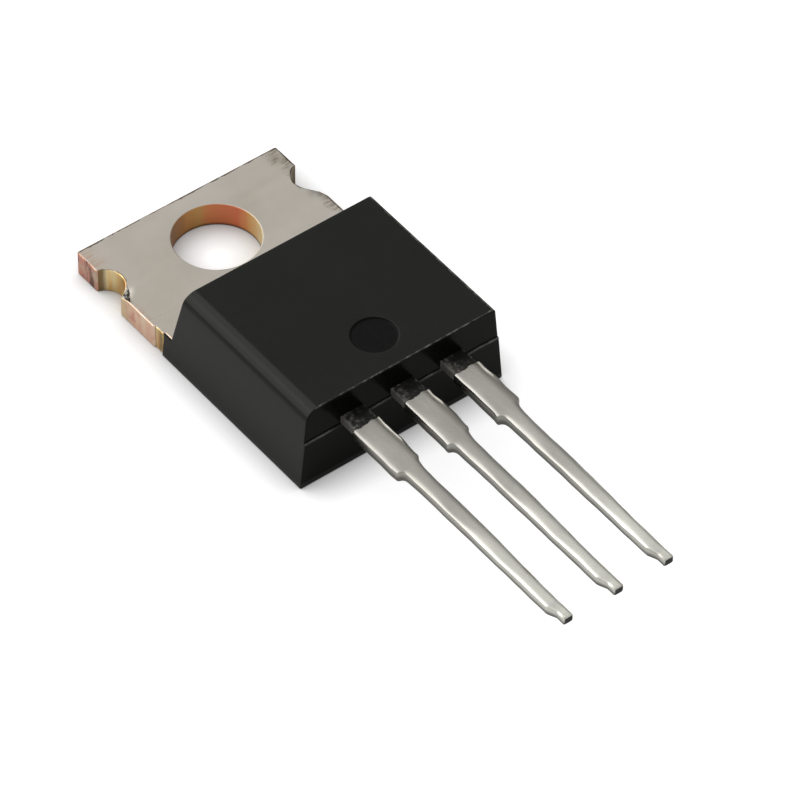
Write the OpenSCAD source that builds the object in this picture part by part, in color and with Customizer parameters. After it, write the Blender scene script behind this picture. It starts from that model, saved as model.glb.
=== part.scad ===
// Three-lead power transistor in a tab package, lying on its back.
// Origin: axis of the mounting hole, on the back face of the heat tab.
// +X along the row of leads, +Y towards the end of the tab, +Z away from the back face.
// Millimetres.

/* [View] */
// Which piece to show

/* [Heat tab] */
// Width of the heat tab
tab_w = 10.34; // [10:0.02:10.5]
// Thickness of the tab and of the die pad behind the moulding
tab_t = 1.2; // [1.1:0.05:1.35]
// Distance from the mounting hole's centre to the end of the tab
hole_to_end = 2.8; // [2.6:0.05:3]
// Diameter of the mounting hole
hole_d = 3.84; // [3.6:0.02:4]
// Radius of the round notch punched in each side of the tab
notch_r = 0.86; // [0.75:0.01:0.95]
// How far each notch bites into the side of the tab
notch_depth = 0.66; // [0.55:0.01:0.72]
// How far the notches lie from the hole's centre, towards the end
notch_y = 0.55; // [0.45:0.05:0.65]
// How far the notch's pressed-down corner runs along the tab's side
roll_length = 0.6; // [0.4:0.05:0.8]
// How deep the notch's pressed-down corner goes
roll_depth = 0.22; // [0.1:0.02:0.4]
// How much narrower each side is next to the moulding, where it was not sheared
side_step = 0.07; // [0.04:0.01:0.12]
// Length of that narrower stretch on each side
strip_length = 0.58; // [0.4:0.02:0.8]

// How deep the moulding's cheeks sit in the frame's sides
cheek_cover = 0.1; // [0.08:0.01:0.12]
// How far the frame keeps its full width behind the start of the cheeks
cheek_length = 0.8; // [0.7:0.05:1.2]

/* [Die pad] */
// Width of the die pad at its upper, wider level
pad_w = 8.7; // [8.2:0.1:9]
// How far the pad's sides are undercut, so the moulding grips them
lock_step = 0.4; // [0.2:0.05:0.6]
// Height of the pad's undercut
lock_h = 0.5; // [0.4:0.05:0.7]
// Distance from the mounting hole's centre to the front end of the pad
pad_end = 9.8; // [9.5:0.1:10]

/* [Moulding] */
// Width of the moulding at the back face
body_w = 10.4; // [10.38:0.01:10.5]
// Height of the moulding above the back face
body_h = 4.2; // [4.1:0.05:4.7]
// Distance from the mounting hole's centre to the front of the moulding
body_front = 12.66; // [12.5:0.02:12.9]
// Where the moulding meets the back face, from the hole's centre
body_back = 3.455; // [3.4:0.02:3.6]
// Where the moulding's two cheeks start beside the tab, from the hole's centre
cheek_back = 3.2; // [3.1:0.02:3.3]
// Slope of the side walls, in degrees from upright
side_draft = 5.5; // [3:0.5:7]
// Slope of the wall above the tab, in degrees from upright
back_draft = 11.8; // [8:0.2:14]
// Radius of the two long rounded upper edges
edge_r = 0.55; // [0.3:0.05:0.8]
// How far the front wall leans out from the back face up to the parting line
front_lean = 0.02; // [0.01:0.01:0.06]
// Ledge left where the upper mould half sits back from the lower one
parting_ledge = 0.05; // [0.02:0.01:0.08]
// Diameter of the ejector pin's mark
ejector_d = 2; // [1.6:0.1:2.4]
// Depth of the ejector pin's mark
ejector_depth = 0.07; // [0.03:0.01:0.15]
// Distance of the ejector pin's mark from the mounting hole's centre
ejector_y = 10.77; // [10.3:0.05:11]

/* [Leads] */
// Distance from one lead's centre to the next
pitch = 2.54; // [2.5:0.01:2.6]
// Height of the leads' lower faces above the back face
lead_z = 2.55; // [2.45:0.01:2.65]
// Thickness of the bare leads
lead_t = 0.4; // [0.36:0.01:0.5]
// Width of each bare lead next to the moulding
wide_w = 1.17; // [1.1:0.01:1.3]
// Width of each bare lead past its shoulder
narrow_w = 0.6; // [0.55:0.01:0.7]
// Width of each bare lead at its tip
tip_w = 0.38; // [0.34:0.01:0.42]
// Thickness of each bare lead at its tip
tip_t = 0.3; // [0.24:0.01:0.34]
// Distance from the mounting hole's centre to the leads' shoulders
shoulder_y = 16.58; // [16:0.02:17]
// Distance from the mounting hole's centre to the leads' tips
tip_y = 26.55; // [26:0.05:27]
// Length of the taper that leads into each tip
tip_taper = 0.45; // [0.3:0.05:0.6]
// Length of each tip past its taper
tip_length = 0.45; // [0.3:0.05:0.6]
// Width of the bond posts at the inner ends of the outer leads
post_w = 2.1; // [1.8:0.05:2.3]
// Length of the bond posts
post_length = 1.45; // [1.3:0.05:1.6]
// Distance of each bond post's middle from its lead's middle, outwards
post_offset = 0.25; // [0.1:0.05:0.3]
// Depth of moulding between the bond posts and the front wall
post_cover = 0.75; // [0.6:0.05:0.9]
// Width of the strap between the die pad and the middle lead
strap_w = 1.17; // [1.1:0.01:1.4]
// Slope of the strap that climbs from the die pad to the middle lead
strap_angle = 50; // [45:1:58]
// Bending radius of the strap at its middle plane
strap_r = 0.45; // [0.35:0.05:0.5]
// Flat length of the strap between the pad's end and the first bend
strap_flat = 0.08; // [0.05:0.01:0.12]

/* [Solder coat] */
// Thickness of the solder coat on the leads
coat_t = 0.05; // [0.03:0.005:0.07]
// Radius of the solder coat's rounded edges
coat_r = 0.14; // [0.1:0.01:0.18]
// Length of each lead left bare next to the moulding
bare_length = 0.87; // [0.7:0.01:1.1]

/* [Die and bonds] */
// Size of the silicon die across the leads
die_x = 4.4; // [3.8:0.1:4.8]
// Size of the silicon die along the leads
die_y = 3.4; // [3:0.1:3.6]
// Thickness of the silicon die
die_t = 0.3; // [0.2:0.02:0.36]
// Thickness of the solder under the die
solder_t = 0.05; // [0.03:0.01:0.08]
// Width of the solder's rim around the die
solder_rim = 0.12; // [0.05:0.01:0.2]
// Distance from the mounting hole's centre to the die's centre
die_centre = 6.5; // [6.3:0.05:6.7]
// Diameter of the two source wires
source_wire_d = 0.38; // [0.25:0.01:0.4]
// Diameter of the gate wire
gate_wire_d = 0.15; // [0.1:0.01:0.2]
// Angle at which each wire's arc leaves its chord, in degrees
loop_angle = 46; // [38:1:52]
// Distance of the gate bond from the side of the die
gate_bond_side = 0.6; // [0.4:0.05:0.8]
// Distance of the gate bond from the front of the die
gate_bond_inset = 0.75; // [0.6:0.05:0.9]
// Distance of the source bonds from the front of the die
source_bond_inset = 1.15; // [1:0.05:1.3]
// Distance of the inner source bond from the die's middle
source_bond_x = 0.3; // [0.1:0.05:0.5]
// Distance between the two source wires
wire_spacing = 0.95; // [0.8:0.05:1]
// Distance from the source post's middle to the inner source wire, inwards
source_post_x = 0.55; // [0.4:0.05:0.6]
// Distance from each bond post's front edge to the ends of the wires
post_bond_inset = 0.3; // [0.3:0.01:0.31]

/* [Hidden] */
$fn = 64;
// how far pieces of one outline lap over each other
tiny = 0.01;
// how far cutters reach past what they cut
spare = 1;
// moulding
side_slope = tan(side_draft);
back_slope = tan(back_draft);
parting_z = lead_z - coat_t;
edge_z = body_h - edge_r;
edge_x = body_w / 2 - side_slope * edge_z - edge_r / cos(side_draft);
// tab
notch_x = tab_w / 2 - notch_depth + notch_r;
notch_reach = sqrt(notch_r * notch_r - pow(notch_x - tab_w / 2, 2));
shear_end = -(cheek_back - strip_length);
strip_w = tab_w - 2 * side_step;
// direction, seen from the notch's centre, in which its pressed-down corner starts
roll_angle = 20;
roll_overrun = 0.15;
// leads
root_lap = 0.2;
lead_mid = lead_z + lead_t / 2;
lead_top = lead_z + lead_t;
post_front = -(body_front - post_cover);
post_back = post_front + post_length;
neck_y = tip_y - tip_length;
taper_y = neck_y - tip_taper;
shoulder_r = (wide_w - narrow_w) / 2;
coat_start = body_front + bare_length;
// strap
strap_low = tab_t - lead_t / 2;
strap_rise = lead_mid - strap_low;
slope_rise = strap_rise - 2 * strap_r * (1 - cos(strap_angle));
slope_length = slope_rise / sin(strap_angle);
strap_run = slope_length * cos(strap_angle) + 2 * strap_r * sin(strap_angle);
strap_start = pad_end + strap_flat;
strap_top = strap_start + strap_run;
strap_reach = strap_r + lead_t;
// die and bonds
die_bottom = tab_t + solder_t;
die_top = die_bottom + die_t;
die_front = -(die_centre + die_y / 2);
gate_bond_y = die_front + gate_bond_inset;
source_bond_y = die_front + source_bond_inset;
post_bond_y = post_front + post_bond_inset;
// each wire's flat feet: length in wire diameters, and height of the wire's middle in radii
foot_length = 2;
foot_height = 0.6;
foot_lap = 0.4;
wire_fn = 24;

// ---- helpers: profiles swept across, along and up ----

// profile drawn as [distance in front of the hole, height], swept across the part
module across(width) {
    rotate([90, 0, -90]) linear_extrude(height = width, center = true) children();
}

// profile drawn as [x, height], swept forwards from one distance to another
module forwards(from, to) {
    translate([0, -from, 0]) rotate([90, 0, 0]) linear_extrude(height = to - from) children();
}

// outline drawn as [x, y], swept up between two heights
module upwards(from, to) {
    translate([0, 0, from]) linear_extrude(height = to - from) children();
}

module centred_rect(w, low, high) {
    translate([-w / 2, low]) square([w, high - low]);
}

module rounded_rect(w, low, high, r) {
    centred_rect(w - 2 * r, low, high);
    centred_rect(w, low + r, high - r);
    for (x = [-1, 1])
        for (y = [low + r, high - r])
            translate([x * (w / 2 - r), y]) circle(r = r);
}

// ---- moulding ----

module wall_profile() {
    wall_x = edge_x + edge_r * cos(side_draft);
    wall_z = edge_z + edge_r * sin(side_draft);
    polygon([[-body_w / 2, 0], [body_w / 2, 0], [wall_x, wall_z], [edge_x, body_h],
             [-edge_x, body_h], [-wall_x, wall_z]]);
    for (x = [-1, 1])
        translate([x * edge_x, edge_z]) circle(r = edge_r);
}

module length_profile() {
    lip = body_front + front_lean;
    polygon([[body_back, 0], [body_front, 0], [lip, parting_z], [lip - parting_ledge, parting_z],
             [body_front - parting_ledge, body_h], [body_back + back_slope * body_h, body_h]]);
}

module moulding_block() {
    intersection() {
        forwards(body_back - spare, body_front + spare) wall_profile();
        across(body_w + spare) length_profile();
    }
    intersection() {
        forwards(cheek_back, body_back + spare) wall_profile();
        across(body_w + spare) translate([cheek_back, 0]) square([body_back - cheek_back + spare, tab_t]);
    }
}

module ejector_mark() {
    translate([0, -ejector_y, body_h - ejector_depth]) cylinder(d = ejector_d, h = spare);
}

module mould_body() {
    color([0.045, 0.045, 0.042])
    difference() {
        moulding_block();
        ejector_mark();
        frame_solid();
        outer_lead(-1);
        outer_lead(1);
        solder_slab();
        die_slab();
        gate_bond();
        inner_source_bond();
        outer_source_bond();
    }
}

// ---- frame: tab, die pad, strap and middle lead, stamped in one piece ----

module tab_outline() {
    difference() {
        union() {
            centred_rect(tab_w, shear_end, hole_to_end);
            centred_rect(strip_w, -cheek_back, 0);
        }
        circle(d = hole_d);
        for (x = [-1, 1])
            translate([x * notch_x, notch_y]) circle(r = notch_r);
    }
}

// the punch pressed down each notch's corner on the side towards the moulding
module rolled_corner() {
    corner_y = notch_y - notch_reach;
    from = [tab_w / 2, corner_y - roll_length];
    to = [notch_x - notch_r * cos(roll_angle), notch_y - notch_r * sin(roll_angle)];
    heading = atan2(to[1] - from[1], to[0] - from[0]);
    tilt = atan(roll_depth / (roll_length * abs(cos(heading))));
    translate([from[0], from[1], tab_t]) rotate([0, 0, heading]) rotate([tilt, 0, 0])
        translate([-roll_overrun, -spare, 0]) cube([norm(to - from) + 2 * roll_overrun, spare, spare]);
}

module pad() {
    neck_end = -(cheek_back + cheek_length);
    upwards(0, tab_t) centred_rect(strip_w - 2 * cheek_cover, neck_end, -cheek_back + tiny);
    upwards(0, lock_h) centred_rect(pad_w - 2 * lock_step, -pad_end, neck_end + tiny);
    upwards(lock_h, tab_t) centred_rect(pad_w, -pad_end, neck_end + tiny);
}

// sector of the strap's bend, from the x direction round to the strap's slope
module bend() {
    intersection() {
        difference() {
            circle(r = strap_r + lead_t / 2);
            circle(r = strap_r - lead_t / 2);
        }
        polygon([[0, 0], [strap_reach, 0], [strap_reach, strap_reach * tan(strap_angle / 2)],
                 strap_reach * [cos(strap_angle), sin(strap_angle)]]);
    }
}

module strap_profile() {
    slope_from = [strap_start + strap_r * sin(strap_angle), strap_low + strap_r * (1 - cos(strap_angle))];
    translate([pad_end - root_lap, tab_t - lead_t]) square([strap_flat + root_lap + tiny, lead_t]);
    translate([strap_start, strap_low + strap_r]) rotate(-90) bend();
    translate(slope_from) rotate(strap_angle) translate([-tiny, -lead_t / 2])
        square([slope_length + 2 * tiny, lead_t]);
    translate([strap_top, lead_mid - strap_r]) rotate(90) bend();
    translate([strap_top - tiny, lead_z]) square([2 * root_lap, lead_t]);
}

module frame_solid() {
    difference() {
        upwards(0, tab_t) tab_outline();
        rolled_corner();
        mirror([1, 0, 0]) rolled_corner();
    }
    pad();
    across(strap_w) strap_profile();
    lead_solid(0, strap_top + root_lap);
}

module drain_frame() {
    color([0.66, 0.63, 0.58]) frame_solid();
}

// ---- leads ----

// plan of a lead outside the moulding, grown all round by the coat's thickness
module lead_outline(from, grow) {
    half = wide_w / 2 + grow;
    centred_rect(2 * half, -(shoulder_y - shoulder_r), -from);
    centred_rect(2 * (half - shoulder_r), -shoulder_y, -from);
    for (x = [-1, 1])
        translate([x * (half - shoulder_r), -(shoulder_y - shoulder_r)]) circle(r = shoulder_r);
    narrow = narrow_w / 2 + grow;
    tip = tip_w / 2 + grow;
    polygon([[-narrow, -from - spare], [-narrow, -taper_y], [-tip, -neck_y], [-tip, -tip_y],
             [tip, -tip_y], [tip, -neck_y], [narrow, -taper_y], [narrow, -from - spare]]);
}

// side view of a lead, grown above and below by the coat's thickness
module lead_side(from, grow) {
    polygon([[from, lead_z - grow], [taper_y, lead_z - grow], [neck_y, lead_mid - tip_t / 2 - grow],
             [tip_y, lead_mid - tip_t / 2 - grow], [tip_y, lead_mid + tip_t / 2 + grow],
             [neck_y, lead_mid + tip_t / 2 + grow], [taper_y, lead_top + grow], [from, lead_top + grow]]);
}

module lead_solid(place, from) {
    translate([place * pitch, 0, 0]) intersection() {
        upwards(lead_z - spare, lead_top + spare) lead_outline(from, 0);
        across(wide_w + spare) lead_side(from, 0);
    }
}

module outer_lead(place) {
    lead_solid(place, -post_front - root_lap);
    translate([place * (pitch + post_offset), 0, 0])
        upwards(lead_z, lead_top) centred_rect(post_w, post_front, post_back);
}

module gate_lead() {
    color([0.66, 0.63, 0.58]) outer_lead(-1);
}

module source_lead() {
    color([0.66, 0.63, 0.58]) outer_lead(1);
}

// ---- solder coat on the leads ----

module coat_envelope() {
    intersection() {
        upwards(lead_z - spare, lead_top + spare) lead_outline(coat_start, coat_t);
        across(wide_w + spare) lead_side(coat_start, coat_t);
        union() {
            forwards(coat_start, shoulder_y)
                rounded_rect(wide_w + 2 * coat_t, lead_z - coat_t, lead_top + coat_t, coat_r);
            forwards(coat_start, tip_y)
                rounded_rect(narrow_w + 2 * coat_t, lead_z - coat_t, lead_top + coat_t, coat_r);
        }
    }
}

module tinning(place) {
    color([0.80, 0.80, 0.77])
    difference() {
        translate([place * pitch, 0, 0]) coat_envelope();
        lead_solid(place, body_front);
    }
}

module gate_tinning() {
    tinning(-1);
}

module drain_tinning() {
    tinning(0);
}

module source_tinning() {
    tinning(1);
}

// ---- die, die solder and bond wires ----

module slab(x, y, from, to) {
    upwards(from, to) translate([-x / 2, -die_centre - y / 2]) square([x, y]);
}

module die_slab() {
    slab(die_x, die_y, die_bottom, die_top);
}

module solder_slab() {
    slab(die_x + 2 * solder_rim, die_y + 2 * solder_rim, tab_t, die_bottom);
}

module silicon_die() {
    color([0.20, 0.21, 0.25]) die_slab();
}

module die_solder() {
    color([0.55, 0.55, 0.54]) solder_slab();
}

// wire pressed flat on the die at one end and on a bond post at the other, with one arc between
module bond(x0, x1, y0, d) {
    r = d / 2;
    foot = foot_length * d;
    seat = foot_height * r;
    lap = foot_lap * r;
    run = norm([x1 - x0, post_bond_y - y0]);
    from = [foot, die_top + seat];
    to = [run - foot, lead_top + seat];
    chord = to - from;
    tilt = atan2(chord[1], chord[0]);
    arc_r = norm(chord) / 2 / sin(loop_angle);
    sink = arc_r * cos(loop_angle);
    mid = (from + to) / 2;
    swing = 2 * (loop_angle + atan(foot_height * r / arc_r));
    translate([x0, y0, 0]) rotate([0, 0, atan2(post_bond_y - y0, x1 - x0)]) difference() {
        union() {
            translate([0, 0, from[1]]) rotate([0, 90, 0]) cylinder(r = r, h = foot + lap, $fn = wire_fn);
            translate([mid[0] + sink * sin(tilt), 0, mid[1] - sink * cos(tilt)]) rotate([90, 0, 0])
                rotate([0, 0, 90 + tilt - swing / 2]) rotate_extrude(angle = swing)
                    translate([arc_r, 0]) circle(r = r, $fn = wire_fn);
            translate([to[0] - lap, 0, to[1]]) rotate([0, 90, 0])
                cylinder(r = r, h = foot + lap, $fn = wire_fn);
        }
        translate([-foot, -spare, die_top - spare]) cube([run, 2 * spare, spare]);
        translate([to[0] - d, -spare, lead_top - spare]) cube([foot + 2 * d, 2 * spare, spare]);
    }
}

module gate_bond() {
    bond(gate_bond_side - die_x / 2, -pitch - post_offset, gate_bond_y, gate_wire_d);
}

module inner_source_bond() {
    bond(source_bond_x, pitch + post_offset - source_post_x, source_bond_y, source_wire_d);
}

module outer_source_bond() {
    bond(source_bond_x + wire_spacing, pitch + post_offset - source_post_x + wire_spacing,
         source_bond_y, source_wire_d);
}

module gate_wire() {
    color([0.82, 0.82, 0.83]) gate_bond();
}

module inner_source_wire() {
    color([0.82, 0.82, 0.83]) inner_source_bond();
}

module outer_source_wire() {
    color([0.82, 0.82, 0.83]) outer_source_bond();
}

mould_body();
drain_frame();
gate_lead();
source_lead();
silicon_die();
die_solder();
gate_wire();
inner_source_wire();
outer_source_wire();
gate_tinning();
drain_tinning();
source_tinning();
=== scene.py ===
import math

import bmesh
import bpy
import numpy as np
from mathutils import Matrix


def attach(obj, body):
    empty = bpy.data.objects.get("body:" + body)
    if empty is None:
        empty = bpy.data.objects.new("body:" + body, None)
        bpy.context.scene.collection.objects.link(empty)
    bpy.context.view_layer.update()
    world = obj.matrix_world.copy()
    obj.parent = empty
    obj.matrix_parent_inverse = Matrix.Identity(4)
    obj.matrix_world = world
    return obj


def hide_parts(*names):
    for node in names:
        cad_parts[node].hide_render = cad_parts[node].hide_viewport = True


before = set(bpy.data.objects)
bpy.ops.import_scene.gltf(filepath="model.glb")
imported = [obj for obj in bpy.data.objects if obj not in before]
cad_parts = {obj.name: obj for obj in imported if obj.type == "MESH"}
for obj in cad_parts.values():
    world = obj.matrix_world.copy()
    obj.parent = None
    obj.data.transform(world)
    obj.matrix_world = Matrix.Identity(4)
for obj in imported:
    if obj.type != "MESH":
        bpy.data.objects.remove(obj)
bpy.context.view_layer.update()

# Shapes are worked out in millimetres, in the frame's axes, and made metres as they go into a mesh:
# the mounting hole's axis is x = y = 0, the back face is z = 0 and the leads point along -y.
MM = 0.001

# heat tab and die pad
TAB_W, TAB_T, TAB_END = 10.34, 1.2, 2.8
HOLE_R, NOTCH_R, NOTCH_X, NOTCH_Y = 1.92, 0.86, 5.37, 0.55
SHEAR_END, CHEEK_Y, NECK_Y, PAD_Y = -2.62, -3.2, -4.0, -9.8
STRIP_X, NECK_X, PAD_X, PAD_LOW_X, LOCK_H = 5.1, 5.0, 4.35, 3.95, 0.5
ROLL_LENGTH, ROLL_DEPTH = 0.6, 0.22  # the corner pressed down below each notch
ROLL_R, RIM_R, FOOT_R, BAND = 0.035, 0.025, 0.03, 0.06  # rounded edges and the band beside them
# moulding
BODY_W, BODY_H, BODY_FRONT, BODY_BACK = 10.4, 4.2, 12.66, 3.455
SIDE_SLOPE, BACK_SLOPE = math.tan(math.radians(5.5)), math.tan(math.radians(11.8))
EDGE_LEFT, EDGE_RIGHT, CRISP = 0.65, 0.2, 0.035
PARTING_Z, SCENE_LEDGE, LOWER_DRAFT, UPPER_DRAFT = 2.5, 0.07, 0.008, 0.004
SUNK = 0.3  # height at which the resin's skin ends inside, against the metal
AT_NECK, AT_STRIP, AT_CHEEK = 0.969, 0.991, 0.838  # shares of the outline's half width and length
CHIP_X, CHIP_HALF = np.array([-2.8, -0.37, 1.27, 3.1]), np.array([0.4, 0.12, 0.12, 0.3])  # front rim
MARK_Y, MARK_R, MARK_DEPTH = -10.77, 1.0, 0.07
# leads
PITCH, LEAD_Z, LEAD_T = 2.54, 2.55, 0.4
LEAD_MID = LEAD_Z + LEAD_T / 2
WIDE, NARROW, TIP, TIP_T = 0.585, 0.3, 0.19, 0.3
SHOULDER_Y, TAPER_Y, NECK_TIP_Y, TIP_Y = 16.58, 25.65, 26.1, 26.55
COAT_Y, COAT_T = 13.53, 0.05
SOONER, RIGHT_TAPER_Y = 0.25, 21  # right sides: shoulders that much nearer, and an early taper
LEAD_EDGE = 0.03
POST_BACK, POST_FRONT, POST_HALF, POST_SHIFT = 10.46, 11.91, 1.05, 0.25
STRAP_SLOPE, STRAP_BEND = math.radians(50), 0.45
RUN_OVER = 0.07  # extra solder beside the narrow part
SINK = 0.012  # how far a coat's inner wall lies inside the lead


# ---------------------------------------------------------------- meshes


def skin(name, grid, materials, nodes, zones=None, ring=False, crease=32):
    """Mesh over grid[row, column], an array of points in millimetres. Column c joins column c + 1
    and the last joins the first. Rows join likewise if ring is true; otherwise the first and the
    last row are closed with one face each. zones[row, column] picks each face's material."""
    rows, columns = grid.shape[:2]
    r = np.arange(rows if ring else rows - 1)[:, None]
    c = np.arange(columns)[None, :]
    r_next, c_next = (r + 1) % rows, (c + 1) % columns
    quads = np.stack(
        [r * columns + c, r * columns + c_next, r_next * columns + c_next, r_next * columns + c], -1
    ).reshape(-1, 4)
    faces = quads.tolist()
    picks = np.zeros(len(faces), int) if zones is None else zones[: len(r)].reshape(-1)
    if not ring:
        faces += [np.arange(columns)[::-1].tolist(), (np.arange(columns) + (rows - 1) * columns).tolist()]
        picks = np.concatenate([picks, [picks[0], picks[-1]]])
    mesh = bpy.data.meshes.new(name)
    mesh.from_pydata((grid.reshape(-1, 3) * MM).tolist(), [], faces)
    mesh.polygons.foreach_set("material_index", picks.astype(np.int32))
    work = bmesh.new()
    work.from_mesh(mesh)
    bmesh.ops.remove_doubles(work, verts=work.verts, dist=2e-7)
    bmesh.ops.dissolve_degenerate(work, edges=work.edges, dist=2e-7)
    bmesh.ops.recalc_face_normals(work, faces=work.faces)
    work.to_mesh(mesh)
    work.free()
    mesh.polygons.foreach_set("use_smooth", np.ones(len(mesh.polygons), bool))
    mesh.set_sharp_from_angle(angle=math.radians(crease))
    for material in materials:
        mesh.materials.append(material)
    piece = bpy.data.objects.new(name, mesh)
    bpy.context.scene.collection.objects.link(piece)
    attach(piece, "root")
    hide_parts(*nodes)


def ring_places(per_x, per_y, per_corner, extra_x=(), extra_y=()):
    """Places round a rounded rectangle, anticlockwise from the lower left: along is the share of
    the straight part (-1 to 1 in x and y) and out the outward unit normal. A point is then
    along * (half size - radius) + radius * out. extra_x and extra_y are further shares."""
    x = np.unique(np.concatenate([np.linspace(-1, 1, per_x + 1), extra_x]))
    y = np.unique(np.concatenate([np.linspace(-1, 1, per_y + 1), extra_y]))
    turn = np.linspace(0, math.pi / 2, per_corner + 1)[1:-1]
    along, out = [], []
    sides = (x, -1, (0, -1)), (y, 1, (1, 0)), (x[::-1], 1, (0, 1)), (y[::-1], -1, (-1, 0))
    for share, fixed, normal in sides:
        still = np.full(len(share), float(fixed))
        across = normal[0] == 0
        along.append(np.stack([share, still] if across else [still, share], -1))
        out.append(np.tile(np.array(normal, float), (len(share), 1)))
        start = math.atan2(normal[1], normal[0])
        corner = along[-1][-1]
        along.append(np.tile(corner, (len(turn), 1)))
        out.append(np.stack([np.cos(start + turn), np.sin(start + turn)], -1))
    return np.concatenate(along), np.concatenate(out)


def outline(corners, spacing):
    """Closed plan outline through corners (x, y, radius), anticlockwise: each corner is an arc that
    touches its two sides, and each side is divided evenly. Returns points and outward normals."""
    corner = np.array(corners, float)
    here = corner[:, :2]
    before, after = np.roll(here, 1, 0), np.roll(here, -1, 0)
    way_in = (here - before) / np.linalg.norm(here - before, axis=1)[:, None]
    way_out = (after - here) / np.linalg.norm(after - here, axis=1)[:, None]
    bend = np.arctan2(
        way_in[:, 0] * way_out[:, 1] - way_in[:, 1] * way_out[:, 0], (way_in * way_out).sum(1)
    )
    trim = corner[:, 2] * np.tan(np.abs(bend) / 2)
    points = []
    for i in range(len(corner)):
        steps = max(int(abs(bend[i]) / math.radians(15)), 1) if corner[i, 2] > 0 else 0
        start = here[i] - way_in[i] * trim[i]
        if steps:
            side = np.array([-way_in[i, 1], way_in[i, 0]]) * np.sign(bend[i])
            angle = np.linspace(0, abs(bend[i]), steps + 1)[:, None]
            arc = start + corner[i, 2] * (np.sin(angle) * way_in[i] + (1 - np.cos(angle)) * side)
        else:
            arc = here[i][None, :]
        points.append(arc)
        n = (i + 1) % len(corner)
        finish = here[n] - way_in[n] * trim[n]
        gaps = max(int(np.linalg.norm(finish - arc[-1]) / spacing), 1)
        share = np.linspace(0, 1, gaps + 1)[1:-1, None]
        points.append(arc[-1] + (finish - arc[-1]) * share)
    points = np.concatenate(points)
    run = np.roll(points, -1, 0) - np.roll(points, 1, 0)
    normal = np.stack([run[:, 1], -run[:, 0]], -1)
    return points, normal / np.linalg.norm(normal, axis=1)[:, None]


def quarter(radius, steps):
    """Quarter of a circle: how far it is in from the side and down from the top, from side to top."""
    turn = np.linspace(0, math.pi / 2, steps + 1)
    return radius * (1 - np.cos(turn)), radius * (1 - np.sin(turn))


# ---------------------------------------------------------------- materials


def feed(tree, socket, value):
    """Links the socket to another node's output, or writes a plain value on it."""
    if isinstance(value, bpy.types.NodeSocket):
        tree.links.new(value, socket)
    else:
        socket.default_value = value


def calculate(tree, operation, *values):
    """Math node over outputs and numbers."""
    made = tree.nodes.new("ShaderNodeMath")
    made.operation = operation
    for socket, value in zip(made.inputs, values):
        feed(tree, socket, value)
    return made.outputs[0]


def remap(tree, value, low, high, out_low=0.0, out_high=1.0, kind="LINEAR"):
    """Map Range node: low to high becomes out_low to out_high, and it stays there beyond them."""
    made = tree.nodes.new("ShaderNodeMapRange")
    made.interpolation_type = kind
    for key, number in (("From Min", low), ("From Max", high), ("To Min", out_low), ("To Max", out_high)):
        made.inputs[key].default_value = number
    tree.links.new(value, made.inputs["Value"])
    return made.outputs["Result"]


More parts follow.
